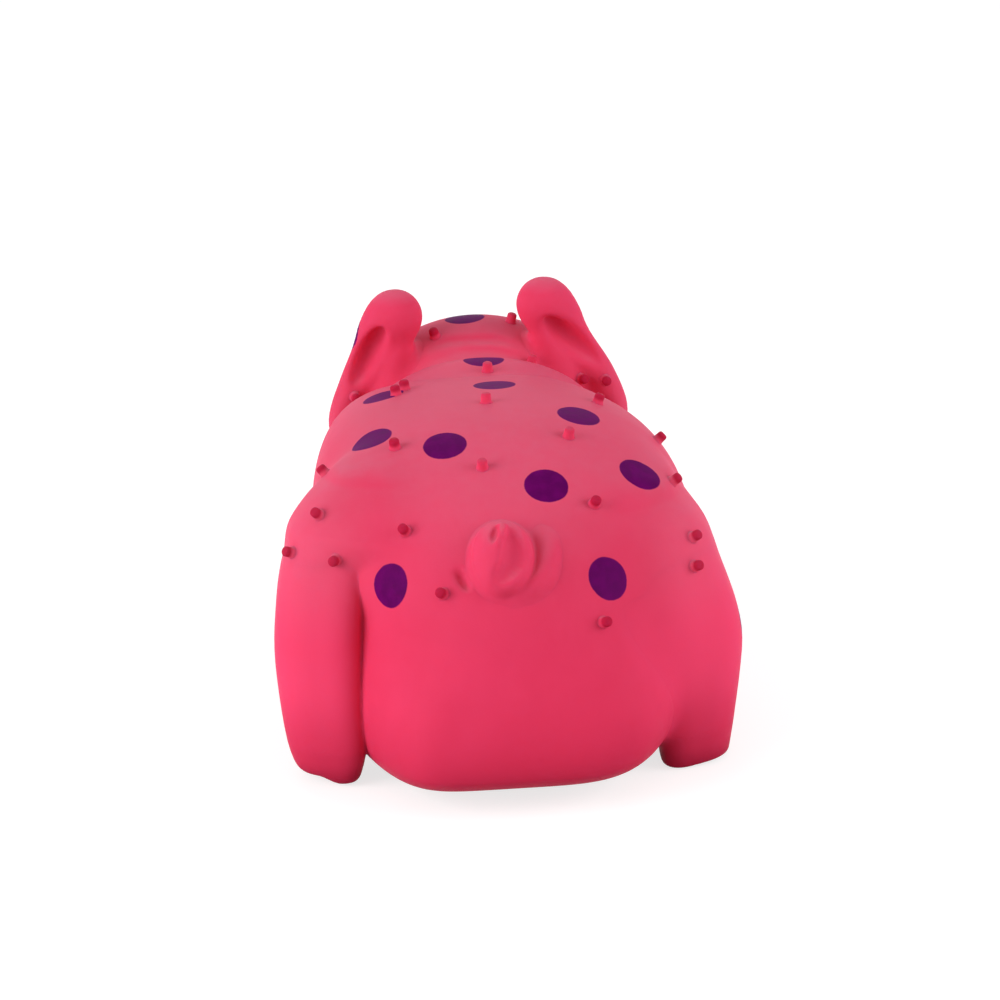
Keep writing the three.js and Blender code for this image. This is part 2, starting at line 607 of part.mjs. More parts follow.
// Squeaker: a cup in the belly port, closed by a lid and a felt, with a reed clamped to a tube inside
function makeSqueaker() {
  const cupRadius = PORT_RADIUS - GAP;
  const boreRadius = cupRadius - CUP_WALL;
  const floorTop = cupBottom + FLANGE_THICKNESS;
  const beadLow = ledgeTop + GAP;
  let cup = solidOf(turned([
    [0, cupBottom],
    [FLANGE_RADIUS, cupBottom],
    [FLANGE_RADIUS, floorTop],
    [cupRadius, floorTop],
    [cupRadius, beadLow],
    [cupRadius + SNAP_BEAD, beadLow + SNAP_BEAD],
    [cupRadius, beadLow + 2 * SNAP_BEAD],
    [cupRadius, cupTop],
    [boreRadius, cupTop],
    [boreRadius, floorTop],
    [0, floorTop],
  ], portY));
  let lid = solidOf(turned([
    [0, cupTop - LID_SPIGOT],
    [boreRadius - GAP, cupTop - LID_SPIGOT],
    [boreRadius - GAP, cupTop + GAP],
    [cupRadius, cupTop + GAP],
    [cupRadius, squeakerTop],
    [cupRadius - FELT_RIM, squeakerTop],
    [cupRadius - FELT_RIM, lidTop],
    [0, lidTop],
  ], portY));
  const holeSpread = REED_BORE - AIR_HOLE_RADIUS;
  for (let hole = 0; hole < AIR_HOLES; hole += 1) {
    const turn = (2 * Math.PI * hole) / AIR_HOLES;
    const x = holeSpread * Math.cos(turn);
    const y = portY + holeSpread * Math.sin(turn);
    const passage = solidOf(post(x, y, AIR_HOLE_RADIUS, -FAR, FAR, SIDES.hole));
    cup = cup.subtract(passage);
    lid = lid.subtract(passage);
  }
  addPiece("squeaker_cup", cup, whitePlastic);
  addPiece("squeaker_lid", lid, whitePlastic);
  const feltRadius = cupRadius - FELT_RIM - GAP;
  const disc = post(0, portY, feltRadius, lidTop + GAP, squeakerTop, SIDES.plastic);
  addPiece("dust_felt", solidOf(disc), felt);

  const tubeLow = floorTop + GAP;
  const tubeTop = tubeLow + REED_TUBE_HEIGHT;
  const flatY = portY + REED_TUBE_RADIUS - REED_FLAT;
  const tube = solidOf(post(0, portY, REED_TUBE_RADIUS, tubeLow, tubeTop, SIDES.plastic))
    .subtract(solidOf(block(vector(-FAR, flatY, tubeLow - GAP), vector(FAR, FAR, FAR))))
    .subtract(solidOf(post(0, portY, REED_BORE, -FAR, tubeTop - CUP_WALL, SIDES.plastic)))
    .subtract(solidOf(block(
      vector(-REED_SLOT / 2, portY, tubeLow + COLLAR_HEIGHT),
      vector(REED_SLOT / 2, FAR, tubeTop - 2 * CUP_WALL),
    )));
  addPiece("reed_tube", tube, whitePlastic);

  const collar = turned([
    [REED_TUBE_RADIUS + GAP, tubeLow],
    [REED_TUBE_RADIUS + GAP + COLLAR_WALL, tubeLow],
    [REED_TUBE_RADIUS + GAP + COLLAR_WALL, tubeLow + COLLAR_HEIGHT],
    [REED_TUBE_RADIUS + GAP, tubeLow + COLLAR_HEIGHT],
    [REED_TUBE_RADIUS + GAP, tubeLow],
  ], portY);
  addPiece("reed_collar", solidOf(collar), whitePlastic);

  const reedY = flatY + GAP;
  const hinge = { place: vector(0, reedY, tubeLow) };
  const tongue = block(
    vector(-REED_WIDTH / 2, reedY, tubeLow),
    vector(REED_WIDTH / 2, reedY + REED_THICKNESS, tubeLow + REED_LENGTH),
  );
  addPiece("reed_tongue", solidOf(tongue), reedPlastic, hinge.place, hingedGroup(hinge));
}

makeTorso();
const head = makeHead();
for (const [label, side, hindLeg] of [["left", -1, LEFT_HIND_LEG], ["right", 1, RIGHT_HIND_LEG]]) {
  makeEar(label, side, head);
  makeLeg(label, "hind", hindLeg, side);
  makeLeg(label, "front", FRONT_LEG, side);
}
makeTail();
makeSqueaker();

// The origin lies under the middle of the overall length
const overall = new THREE.Box3().setFromObject(pig);
pig.position.y = -(overall.min.y + overall.max.y) / 2;

export default pig;
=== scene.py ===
import math

import bpy
import numpy as np
import openvdb
from mathutils import Matrix, Vector


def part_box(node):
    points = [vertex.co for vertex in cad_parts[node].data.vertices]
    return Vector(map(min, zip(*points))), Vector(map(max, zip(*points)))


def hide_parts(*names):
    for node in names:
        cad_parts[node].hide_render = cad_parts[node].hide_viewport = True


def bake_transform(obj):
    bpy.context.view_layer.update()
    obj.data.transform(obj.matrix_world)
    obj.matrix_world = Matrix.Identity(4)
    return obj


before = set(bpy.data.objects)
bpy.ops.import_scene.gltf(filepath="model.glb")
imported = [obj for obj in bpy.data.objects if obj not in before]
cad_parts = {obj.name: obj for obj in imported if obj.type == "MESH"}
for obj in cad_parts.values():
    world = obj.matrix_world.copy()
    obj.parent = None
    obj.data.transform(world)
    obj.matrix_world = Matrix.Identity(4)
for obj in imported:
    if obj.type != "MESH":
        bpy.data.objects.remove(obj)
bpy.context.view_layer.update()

# Lengths are in millimetres here and in metres in Blender. +Y is towards the nose and +Z is up.
MM = 0.001
HEAD_REACH = 46        # from the middle of the head to the tip of the snout
HEAD_AHEAD = 100.5     # from the middle of the torso to the middle of the head
SNOUT_TIP = round(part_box("head_skin")[1][1] / MM, 2)
TORSO_Y = round(SNOUT_TIP - HEAD_REACH - HEAD_AHEAD, 2)
HEAD_Y = TORSO_Y + HEAD_AHEAD
SKIN_UNDER = 0.15      # how far the edge of a limb's skin lies under the skin that it grows from


# Shapes as distance fields: negative inside, in millimetres

def smooth_min(a, b, k):
    h = np.clip(0.5 + 0.5 * (b - a) / k, 0, 1)
    return b * (1 - h) + a * h - k * h * (1 - h)


def smooth_max(a, b, k):
    return -smooth_min(-a, -b, k)


def smooth_step(value, low, high):
    t = np.clip((value - low) / (high - low), 0, 1)
    return t * t * (3 - 2 * t)


def as_distance(field, x, y, z, step=0.4):
    """A field that is zero on the surface, scaled to be about a distance near it."""
    gx = field(x + step, y, z) - field(x - step, y, z)
    gy = field(x, y + step, z) - field(x, y - step, z)
    gz = field(x, y, z + step) - field(x, y, z - step)
    slope = np.sqrt(gx * gx + gy * gy + gz * gz) / (2 * step)
    return field(x, y, z) / np.maximum(slope, 1e-4)


def ellipsoid(x, y, z, center, half):
    ux, uy, uz = ((v - c) / h for v, c, h in zip((x, y, z), center, half))
    near = np.sqrt(ux * ux + uy * uy + uz * uz)
    slope = np.sqrt((ux / half[0]) ** 2 + (uy / half[1]) ** 2 + (uz / half[2]) ** 2)
    return near * (near - 1) / np.maximum(slope, 1e-6)


def rounded(stations, steps=5):
    """Stations with points of a smooth line between them."""
    s = np.array(stations, float)
    s = np.vstack([2 * s[0] - s[1], s, 2 * s[-1] - s[-2]])
    line = []
    for before, a, b, after in zip(s[:-3], s[1:-2], s[2:-1], s[3:]):
        for t in np.arange(steps) / steps:
            line.append(0.5 * (2 * a + (b - before) * t + (2 * before - 5 * a + 4 * b - after) * t * t
                               + (3 * a - before - 3 * b + after) * t ** 3))
    return np.array(line + [s[-2]])


def tube(x, y, z, stations):
    """A round rod along stations (x, y, z, radius)."""
    result = np.full(np.shape(x), 1e3, np.float32)
    for a, b in zip(stations[:-1], stations[1:]):
        d = b[:3] - a[:3]
        t = np.clip(((x - a[0]) * d[0] + (y - a[1]) * d[1] + (z - a[2]) * d[2]) / (d @ d), 0, 1)
        away = np.sqrt((x - a[0] - t * d[0]) ** 2 + (y - a[1] - t * d[1]) ** 2 + (z - a[2] - t * d[2]) ** 2)
        result = np.minimum(result, away - a[3] - t * (b[3] - a[3]))
    return result


def grown(limb, base, k, margin):
    """A limb with the skin that joins it to its base, which ends just under the base's own skin."""
    return np.maximum(smooth_min(limb, base + SKIN_UNDER, k), limb - margin)


# Torso: a long body on a flat belly, whose hindquarters lean forward with height

TORSO_HALF_LENGTH = 82.5
TORSO_HALF_WIDTH = 61
TORSO_AXIS_Z = 46      # height of its widest place
TORSO_ABOVE = 56.4     # from there up to the back
TORSO_BELOW = 46.4     # and down to the belly
RIBS_DRAWN_IN = 4.5    # how far the left flank is drawn in
RUMP_DRAWN_IN = 4.2    # and the rump beside the left hind leg
LEAN = 0.34            # forward for each millimetre of height
LEAN_FROM_Z = 12
LEAN_FRONT = 20        # where the lean has faded out, in front of the torso's middle
LEAN_LENGTH = LEAN_FRONT + TORSO_HALF_LENGTH
BELLY_Z = 0.2
BELLY_EDGE = 3
PORT_Y = TORSO_Y + 37.5
PORT_RADIUS = 14.3
PORT_DEPTH = 8
TAIL_CREASE = rounded([(-15.4, TORSO_Y - 56.2, 71.3, 0.2), (-14.6, TORSO_Y - 57.9, 69.7, 1.4),
                       (-13.4, TORSO_Y - 60, 67.4, 1.4), (-12.6, TORSO_Y - 61, 66, 0.2)], 3)


def upright(y, z):
    """Where a point of the hindquarters would be if they didn't lean forward with height."""
    lean = LEAN * np.maximum(z - LEAN_FROM_Z, 0)
    result = y
    for _ in range(4):
        share = np.clip((TORSO_Y + LEAN_FRONT - result) / LEAN_LENGTH, 0, 1)
        weight = share * share * (3 - 2 * share)
        slope = 1 - lean * 6 * share * (1 - share) / LEAN_LENGTH
        result = result - (result + lean * weight - y) / slope
    return result


def torso_field(x, y, z):
    """Zero on the torso's surface and less inside it."""
    y = upright(y, z)
    t = (y - TORSO_Y) / TORSO_HALF_LENGTH
    within = np.clip(t, -1, 1)
    front = (1 + within) / 2
    left = smooth_step(-x, -10, 10)
    behind = smooth_step(-within, 0.1, 0.5)
    ribs = RIBS_DRAWN_IN * smooth_step(within, -0.5, 0.1)
    rump = RUMP_DRAWN_IN * behind * smooth_step(-z, -66, -50)
    half_width = TORSO_HALF_WIDTH + 9 * within - 6 * within ** 2 - (ribs + rump) * left
    up = z - TORSO_AXIS_Z
    height = np.where(up >= 0, TORSO_ABOVE + 4.2 * within, TORSO_BELOW)
    # The section gets squarer towards the left shoulder, slopes at the right one, and is square low down
    low = smooth_step(-up, -6, 24)
    sloping = np.maximum(np.minimum(0.45 * front, 1.07 - 1.5 * front), -0.2)
    squareness = 2.55 + 1.75 * front + smooth_step(x, -40, 40) * (sloping - 1.75 * front)
    squareness = squareness + low * (4 - 2 * front + 2.2 * left * behind - squareness)
    aside = np.abs(x + 2 * np.clip(t, -1, 0))
    section = (aside / half_width) ** squareness + (np.abs(up) / height) ** squareness
    # The ends are blunter in front and low down
    roundness = 2 / (0.59 - 0.25 * front)
    roundness = roundness + low * (8 - roundness)
    return section ** (roundness / squareness) + t * t - 1


def torso(x, y, z):
    body = as_distance(torso_field, x, y, z)
    body = smooth_max(body, -tube(x, y, z, TAIL_CREASE), 0.8)
    body = smooth_max(body, BELLY_Z - z, BELLY_EDGE)
    port = np.maximum(np.hypot(x, y - PORT_Y) - PORT_RADIUS, z - PORT_DEPTH)
    return smooth_max(body, -port, 1.5)


# Head: rounded masses as (centre, half sizes), a snout disc, and a mouth line round the jaw

SKULL = (0, HEAD_Y + 5, 66.5), (44, 33, 39.5)
NAPE = (0, HEAD_Y - 29.5, 75), (40, 23, 25.3)
JAW = (0, HEAD_Y + 6, 52), (36, 30, 27)
SNOUT_Y = HEAD_Y + HEAD_REACH
SNOUT_Z = 56
SNOUT_HALF_WIDTH = 20
SNOUT_HALF_HEIGHT = 16.5
SNOUT_HALF_DEPTH = 12
NOSTRIL_X = 7.5
NOSTRIL_Z = 57
NOSTRIL_HALF = (3, 4, 4)
EYE_X = 17
EYE_BUMP_HALF = (6.2, 4.5, 7.2)
MOUTH_HALF_WIDTH = 24
MOUTH = rounded([(share * MOUTH_HALF_WIDTH, HEAD_Y + 33 - share ** 2 * 5, 38 + share ** 2 * 5, 1.6)
                 for share in (-1, -0.6, -0.2, 0.2, 0.6, 1)], 2)
WRINKLE_RADII = (0.2, 1.1, 1.2, 1.1, 0.2)


def wrinkle(*places):
    """A groove across the neck, with places from the head's middle."""
    return rounded([(x, HEAD_Y + y, z, radius) for (x, y, z), radius in zip(places, WRINKLE_RADII)], 3)


WRINKLES = (
    wrinkle((-17, -11, 100.4), (-11.7, -8.6, 102), (-1.8, -9.8, 102.8), (7.2, -9.7, 102.3),
            (16, -11.5, 100)),
    wrinkle((-7, -13.8, 100.4), (-2.1, -14.2, 100.6), (4, -14.5, 100.4), (9, -14.8, 99.4),
            (16, -16, 97)))


def head(x, y, z):
    shape = smooth_min(ellipsoid(x, y, z, *SKULL), ellipsoid(x, y, z, *JAW), 12)
    shape = smooth_min(shape, ellipsoid(x, y, z, *NAPE), 5)
    across = np.sqrt((x / SNOUT_HALF_WIDTH) ** 2 + ((z - SNOUT_Z) / SNOUT_HALF_HEIGHT) ** 2)
    along = np.abs(y - SNOUT_Y + SNOUT_HALF_DEPTH) - SNOUT_HALF_DEPTH
    disc = smooth_max((across - 1) * SNOUT_HALF_HEIGHT, along, 4)
    shape = smooth_min(shape, disc, 5)
    for side in (-1, 1):
        nostril = ellipsoid(x, y, z, (side * NOSTRIL_X, SNOUT_Y, NOSTRIL_Z), NOSTRIL_HALF)
        shape = smooth_max(shape, -nostril, 1.5)
        eye = ellipsoid(x, y, z, (side * EYE_X, HEAD_Y + 28.5, 81), EYE_BUMP_HALF)
        shape = smooth_min(shape, eye, 1.5)
    return smooth_max(shape, -tube(x, y, z, MOUTH), 2)


def head_on_torso(x, y, z):
    shape = head(x, y, z)
    for line in WRINKLES:
        shape = smooth_max(shape, -tube(x, y, z, line), 2.5)
    return grown(shape, torso(x, y, z), 4, 9)


# Ears: a rolled rim and a stem with a web between them, hollowed from behind

EAR_Y = HEAD_Y - 8
EAR_RIM = rounded([(24.5, EAR_Y, 110, 7.2), (26.5, EAR_Y, 111, 8.8), (31.5, EAR_Y, 106.5, 7),
                   (36.2, EAR_Y, 98.8, 4.8), (41, EAR_Y, 89, 4.4), (45.5, EAR_Y - 1, 78.5, 4),
                   (46.5, EAR_Y - 2, 71, 3)])
EAR_STEM = rounded([(25, EAR_Y, 108.5, 5.4), (25.5, EAR_Y - 1, 102, 4.5), (27, EAR_Y - 1, 95, 4.4),
                    (30, EAR_Y - 1, 86, 4.4)])
WEB_Y = EAR_Y + 2.5
WEB_RADIUS = 4.5
EAR_WEB = [rounded([(top_x, WEB_Y, top_z, WEB_RADIUS), (end_x, WEB_Y, end_z, WEB_RADIUS)], 1)
           for top_x, top_z, end_x, end_z in ((26, 106, 29, 92), (30, 104, 35, 88), (34, 99, 41, 82))]
EAR_MIDDLE_X = 33
EAR_MIDDLE_Z = 99.5
RIGHT_EAR_IN = 3       # the top of the right ear leans in and stands higher
RIGHT_EAR_UP = 1.6
# The hollow's run as (outward, down) shares, then its centre and half sizes across, through and along it
LEFT_HOLLOW = (0.476, 0.879), (2.2, EAR_Y - 6, 1.9), (4, 7.6, 11.5)
RIGHT_HOLLOW = (0.71, 0.704), (0.8, EAR_Y - 7, 0.5), (4.2, 7.6, 11.5)


def ear(x, y, z, side):
    lift = smooth_step(z, 88, 108) if side > 0 else 0
    x = x * side + RIGHT_EAR_IN * lift
    z = z - RIGHT_EAR_UP * lift
    shape = smooth_min(tube(x, y, z, EAR_RIM), tube(x, y, z, EAR_STEM), 3)
    for strip in EAR_WEB:
        shape = smooth_min(shape, tube(x, y, z, strip), 4)
    (outward, down), center, half = LEFT_HOLLOW if side < 0 else RIGHT_HOLLOW
    along = outward * (x - EAR_MIDDLE_X) - down * (z - EAR_MIDDLE_Z)
    across = down * (x - EAR_MIDDLE_X) + outward * (z - EAR_MIDDLE_Z)
    return smooth_max(shape, -ellipsoid(across, y, along, center, half), 2.5)


def ear_on_head(side):
    return lambda x, y, z: grown(ear(x, y, z, side), head(x, y, z), 5, 5)


# Legs. A leg's form holds:
# y, toe_x: its place along the body, and across it at the cleft between the toes
# sole, step, edge: heights of the sole inside and outside, where it steps between them, and its rounding
# fold, spread: heights between which the fold at the torso opens into a haunch, and how far it spreads there
# cover: heights between which the torso's own skin comes down over the haunch
# square, rear, turn: how square it is, its back half as a share of its front half, and its turn outward
# hinge: where it bends
# line: stations of height, x and half sizes in X and Y, from the sole up
HIND_LEFT = {"y": TORSO_Y - 37, "toe_x": 57, "sole": (0.3, 2.6), "step": (-4, 3), "edge": 3,
             "fold": (64, 76), "spread": (1, 18), "cover": (60, 70),
             "square": 3, "rear": 0.75, "turn": 0.42,
             "hinge": (50.6, TORSO_Y - 26.7, 60),
             "line": rounded([(0, 56, 8.6, 12), (12, 56.6, 12, 17), (35, 57.6, 13.2, 21.5),
                              (50, 56.8, 13, 22), (63, 54.8, 12.8, 20), (74, 51, 12.6, 19),
                              (82, 47.2, 9.8, 15), (89, 44, 5, 8)])}
HIND_RIGHT = {**HIND_LEFT, "sole": (0.2, 1.2), "step": (-9, 7), "edge": 1.6,
              "fold": (12, 56), "spread": (4, 18), "cover": (58, 70),
              "square": 2.8, "rear": 0.85, "turn": 0.35,
              "line": rounded([(0, 55.4, 10.6, 13), (12, 56, 12, 17), (33, 58, 13.2, 21.5),
                               (46, 56.6, 12.9, 22), (58, 52.7, 12, 20), (70, 48.5, 11, 18),
                               (80, 43, 6, 10)])}
FRONT = {"y": TORSO_Y + 44, "toe_x": 49, "sole": (0.2, 0.2), "step": (-9, 7), "edge": 3.5,
         "fold": (24, 48), "spread": (1.5, 12), "cover": None,
         "square": 2.5, "rear": 1, "turn": 0,
         "hinge": (49.5, TORSO_Y + 44, 42),
         "line": rounded([(0, 49, 10, 13), (10, 49.5, 11.5, 15), (26, 50, 12.5, 17), (42, 49.5, 12, 18),
                          (54, 45, 8, 12)])}
LEG_TOP_EDGE = 8
TURN_INSIDE = 7        # the turn's axis, inside the middle of the leg
CLEFT_HALF_WIDTH = 1.2
CLEFT_HEIGHT = 8
CLEFT_AHEAD = 6        # from the middle of the leg to the back of the cleft
COVER_STEP = 0.35      # how deep the leg lies under the torso's skin where that begins to cover it
COVER_GONE = 30        # deep enough to leave the leg out of the torso's skin
COVER_FADE = 12


def leg(x, y, z, side, form):
    at_height, middle, half_x, half_y = form["line"].T
    top = at_height[-1]
    middle, half_x, half_y = (np.interp(z, at_height, value) for value in (middle, half_x, half_y))
    y = upright(y, z)
    ux = (x * side - middle) / half_x
    uy = y - form["y"] - form["turn"] * (x * side - middle + TURN_INSIDE)
    uy = uy / (half_y * np.where(uy < 0, form["rear"], 1))
    square = form["square"]
    r = (np.abs(ux) ** square + np.abs(uy) ** square) ** (1 / square)
    column = (r - 1) * np.minimum(half_x, half_y)
    column = smooth_max(column, z - top, LEG_TOP_EDGE)
    inner, outer = form["sole"]
    outward = x * side - form["toe_x"]
    sole = inner + (outer - inner) * smooth_step(outward, *form["step"])
    column = smooth_max(column, sole - z, form["edge"])
    cleft = np.maximum(z - CLEFT_HEIGHT, form["y"] + CLEFT_AHEAD - y)
    cleft = np.maximum(np.abs(outward) - CLEFT_HALF_WIDTH, cleft)
    return smooth_max(column, -cleft, 2)


def spread_of(form, y, z):
    """How softly a leg meets the torso: in a fold low down at the back, smoothly above and in front."""
    low, high = form["spread"]
    ahead = smooth_step(upright(y, z) - form["y"], 2, 20)
    fold = (1 - smooth_step(z, *form["fold"])) * (1 - 0.6 * ahead)
    return low + (high - low) * (1 - fold)


def leg_on_torso(side, form):
    def field(x, y, z):
        spread = spread_of(form, y, z)
        shape = grown(leg(x, y, z, side, form), torso(x, y, z), spread, spread)
        if form["cover"]:
            low, high = form["cover"]
            shape = smooth_max(shape + SKIN_UNDER * smooth_step(z, low + 4, high), z - high - 5, 2)
        return shape
    return field


def torso_with_haunches(x, y, z):
    """The torso's own skin, which reaches down over the tops of the hind legs."""
    shape = torso(x, y, z)
    for side, form in ((-1, HIND_LEFT), (1, HIND_RIGHT)):
        low, high = form["cover"]
        sunk = COVER_STEP * (1 - smooth_step(z, low, high))
        sunk = sunk + COVER_GONE * (1 - smooth_step(z, low - COVER_FADE, low))
        shape = smooth_min(shape, leg(x, y, z, side, form) + sunk, spread_of(form, y, z))
    return shape


# Tail: a dome with a valley and a slit in it, a lip along the slit and a ring round its right side

TAIL_AT = np.array([-2.3, TORSO_Y - 55, 72.3])
TAIL_OUT = np.array([-0.017, -0.70, 0.714])
TAIL_RIGHT = np.array([1.0, -0.011, 0.013])
TAIL_UP = np.cross(TAIL_OUT, TAIL_RIGHT)
TAIL_DOME = (0.1, -0.6, 2.5), (9.2, 12, 9.8)


def on_tail(right, up, out):
    return TAIL_AT + TAIL_RIGHT * right + TAIL_UP * up + TAIL_OUT * out


def tail_line(*stations):
    """A rod along stations (right, up, out, radius) on the tail."""
    return rounded([(*on_tail(right, up, out), radius) for right, up, out, radius in stations], 4)


TAIL_RING = tail_line((11, 9.5, -3.5, 2.6), (12.9, 5.5, -0.6, 3.1), (13, 0, 1, 3.2),
                      (11.6, -5.5, 1.2, 3.3), (8.4, -9, 0.6, 3.2), (3, -10.5, -1.5, 3))
TAIL_LIP = tail_line((0.6, 6.1, 10.3, 1.2), (-0.1, 3, 11.6, 1.5), (-1.4, 0, 11.8, 0.9))
TAIL_SLIT = tail_line((-1.3, 5.4, 11.1, 1), (-2.1, 2.6, 12, 1.4), (-2.8, 0.2, 12.5, 0.5))
TAIL_VALLEY = tail_line((2.8, 5.4, 12.6, 1.8), (3.4, 2.6, 12.9, 3.4), (3.8, -1.6, 12.5, 4.2),
                        (3, -6, 10.8, 4), (-0.4, -9.6, 8.8, 2.6))


def tail(x, y, z):
    across, along, out = (sum(axis * (v - c) for axis, v, c in zip(direction, (x, y, z), TAIL_AT))
                          for direction in (TAIL_RIGHT, TAIL_UP, TAIL_OUT))
    dome = ellipsoid(across, along, out, *TAIL_DOME)
    dome = smooth_max(dome, -tube(x, y, z, TAIL_VALLEY), 2)
    shape = smooth_min(dome, tube(x, y, z, TAIL_RING), 1.2)
    shape = smooth_min(shape, tube(x, y, z, TAIL_LIP), 1.5)
    return smooth_max(shape, -tube(x, y, z, TAIL_SLIT), 0.8)


def tail_on_torso(x, y, z):
    return grown(tail(x, y, z), torso(x, y, z), 3, 3)


# Nubs: places near the skin of each piece, and their outline as (radius, height above the skin)

NUBS = {
    "torso": ((-28.5, -2, 100.5), (-25.5, 4, 100), (-31, -48.5, 97.5), (-1.5, -23, 102.5), (-5.5, -62.5, 94),
              (21.5, -48.5, 97), (33.5, -16, 98.5), (26.5, -73, 83), (51.5, -52, 82), (50.5, -22, 86.5),
              (58.5, -69.5, 71.5), (26.5, -97, 54.5), (-20, -92.5, 64.5), (-29.5, -75, 78.5),
              (-52.5, -72, 69), (-56, -62.5, 82.5), (-52, -42, 88), (-66.5, -63, 70.5), (61.5, 0, 58),
              (62.5, -18, 40), (-62.5, -12, 40), (-61.5, 2, 56)),
    "head": ((2, 29, 97), (18.5, 51, 96.5), (-13, 62.5, 102.5), (12.5, 69.5, 104), (40.5, 82.5, 60),
             (-40.5, 82.5, 68.5), (15.5, 93.5, 92), (-4.5, 96, 93), (-27, 97, 56), (31, 95.5, 66)),
    "left_ear": ((-41, 55.5, 85.5),),
    "right_ear": ((35, 53.5, 87.5), (42.5, 54.5, 86.5)),
    "right_hind_leg": ((58.5, -75, 63.5),),
    "left_front_leg": ((-58, 15, 61), (-64, 5, 38.5), (-61.5, 12, 14)),
    "right_front_leg": ((61.5, 10, 49.5), (63.5, 5, 38), (61.5, 12, 14)),
}
NUB_OUTLINE = ((2.4, -0.6), (2.05, -0.02), (1.8, 0.3), (1.66, 0.7), (1.6, 1.4), (1.58, 2.2), (1.5, 2.75),
               (1.1, 3.1))
NUB_TOP = 3.2
NUB_ROOT = -1.4
NUB_FOOT = 0.5         # below this height a nub's outline follows the skin
NUB_SIDES = 16
PALE_NUB = 0.4         # the nubs on the middle of the back keep most of the skin's own pink
PALE_ABOVE_Z = 92
PALE_X = 9
PALE_HALF_WIDTH = 16


def slope_of(field, points, step=0.05):
    x, y, z = points.T
    return np.stack([field(x + step, y, z) - field(x - step, y, z),
                     field(x, y + step, z) - field(x, y - step, z),
                     field(x, y, z + step) - field(x, y, z - step)], axis=1) / (2 * step)


def onto(field, points, height=0.0, most=np.inf, rounds=3):
    """Points moved to a height above the surface of a field."""
    for _ in range(rounds):
        slope = slope_of(field, points)
        move = (field(*points.T) - height) / np.maximum((slope ** 2).sum(1), 0.2)
        points = points - slope * np.clip(move, -most, most)[:, None]
    return points


def nub_faces():
    """Sides, top and root of a nub, whose points are rings from the foot up, then its top and its root."""
    rings = len(NUB_OUTLINE)
    top, root = rings * NUB_SIDES, rings * NUB_SIDES + 1
    last = top - NUB_SIDES
    faces = []
    for i in range(NUB_SIDES):
        j = (i + 1) % NUB_SIDES
        for start in range(0, last, NUB_SIDES):
            faces.append((start + i, start + j, start + NUB_SIDES + j, start + NUB_SIDES + i))
        faces.append((last + i, last + j, top))
        faces.append((j, i, root))
    return faces


def nub_points(field, place):
    """Points of a peg that stands on the surface of a field, with a flared foot that follows it."""
    place = onto(field, np.array([place], float), rounds=6)
    out = slope_of(field, place, 1.0)[0]
    out /= np.linalg.norm(out)
    side = np.cross(out, (0.3, 0.9, 0.1))
    side /= np.linalg.norm(side)
    turns = 2 * np.pi * np.arange(NUB_SIDES) / NUB_SIDES
    ring = np.cos(turns)[:, None] * side + np.sin(turns)[:, None] * np.cross(out, side)
    points = []
    for radius, height in NUB_OUTLINE:
        level = place + radius * ring + height * out
        points.append(onto(field, level, height) if height < NUB_FOOT else level)
    return np.vstack(points + [place + NUB_TOP * out, place + NUB_ROOT * out])


def nub_heights(place):
    """Height of each point of a nub, lessened on the pale ones."""
    heights = np.repeat([height for _, height in NUB_OUTLINE], NUB_SIDES)
    pale = place[2] > PALE_ABOVE_Z and abs(place[0] - PALE_X) < PALE_HALF_WIDTH
    return np.append(heights, [NUB_TOP, NUB_ROOT]) * (PALE_NUB if pale else 1)


# Paint: places of the dots on the back, the right side, the left side and the head, then the face

DOTS = ((2.5, -0.5, 101.5), (-32.5, 1.5, 99), (-38, -38, 97.5), (-16, -51, 98.5), (26, -34, 99.5),
        (13, -70, 89.5), (42, -57.5, 87), (-35.5, -81.5, 64.5), (29, -89.5, 65.5),
        (61.5, -13, 58), (60.5, -41, 66), (56.5, 19.5, 61.5), (70, -60, 38), (62.5, 11, 26), (60.5, -28, 29),
        (-61.5, -9, 59), (-58, -26, 73), (-59, 18.5, 51.5), (-69.5, -56, 31.5), (-62.5, 11.5, 28),
        (-60.5, -31, 31.5),
        (-2.5, 73, 106), (1.5, 38.5, 100.5), (-41.5, 63, 106), (41, 79.5, 71.5), (36, 89, 54),
        (-42, 79, 62), (-35, 88.5, 75.5), (6, 91.5, 97), (-17, 90, 34))
DOT_RADIUS = 6.7
EYES = [(side * EYE_X, HEAD_Y + 31.5, 81.5) for side in (-1, 1)]
EYE_RADIUS = 5.8
PUPILS = [(side * (EYE_X - 1), HEAD_Y + 33.2, 81) for side in (-1, 1)]
PUPIL_RADIUS = 3
NOSTRILS = [(side * NOSTRIL_X, SNOUT_Y - 2.5, NOSTRIL_Z) for side in (-1, 1)]
NOSTRIL_RADIUS = 3.4


def store(mesh, name, values):
    mesh.attributes.new(name, "FLOAT", "POINT").data.foreach_set("value", np.asarray(values, np.float32))


def nearest(points, places, radius):
    """Distance of each point from the edge of the nearest round spot."""
    away = [np.linalg.norm(points - place, axis=1) for place in np.asarray(places, float)]
    return np.min(away, axis=0) - radius


def store_paint(mesh, points, peg):
    """What the material reads at each point: distances from the paint, the lie of the skin and the nubs."""
    normals = np.empty(len(points) * 3, np.float32)
    mesh.vertex_normals.foreach_get("vector", normals)
    store(mesh, "dot", nearest(points, DOTS, DOT_RADIUS))
    store(mesh, "eye", nearest(points, EYES, EYE_RADIUS))
    store(mesh, "pupil", nearest(points, PUPILS, PUPIL_RADIUS))
    store(mesh, "opening", np.minimum(nearest(points, NOSTRILS, NOSTRIL_RADIUS), tube(*points.T, MOUTH)))
    store(mesh, "upward", normals.reshape(-1, 3)[:, 2])
    store(mesh, "height", points[:, 2])
    store(mesh, "aside", np.abs(points[:, 0]))
    store(mesh, "peg", peg)


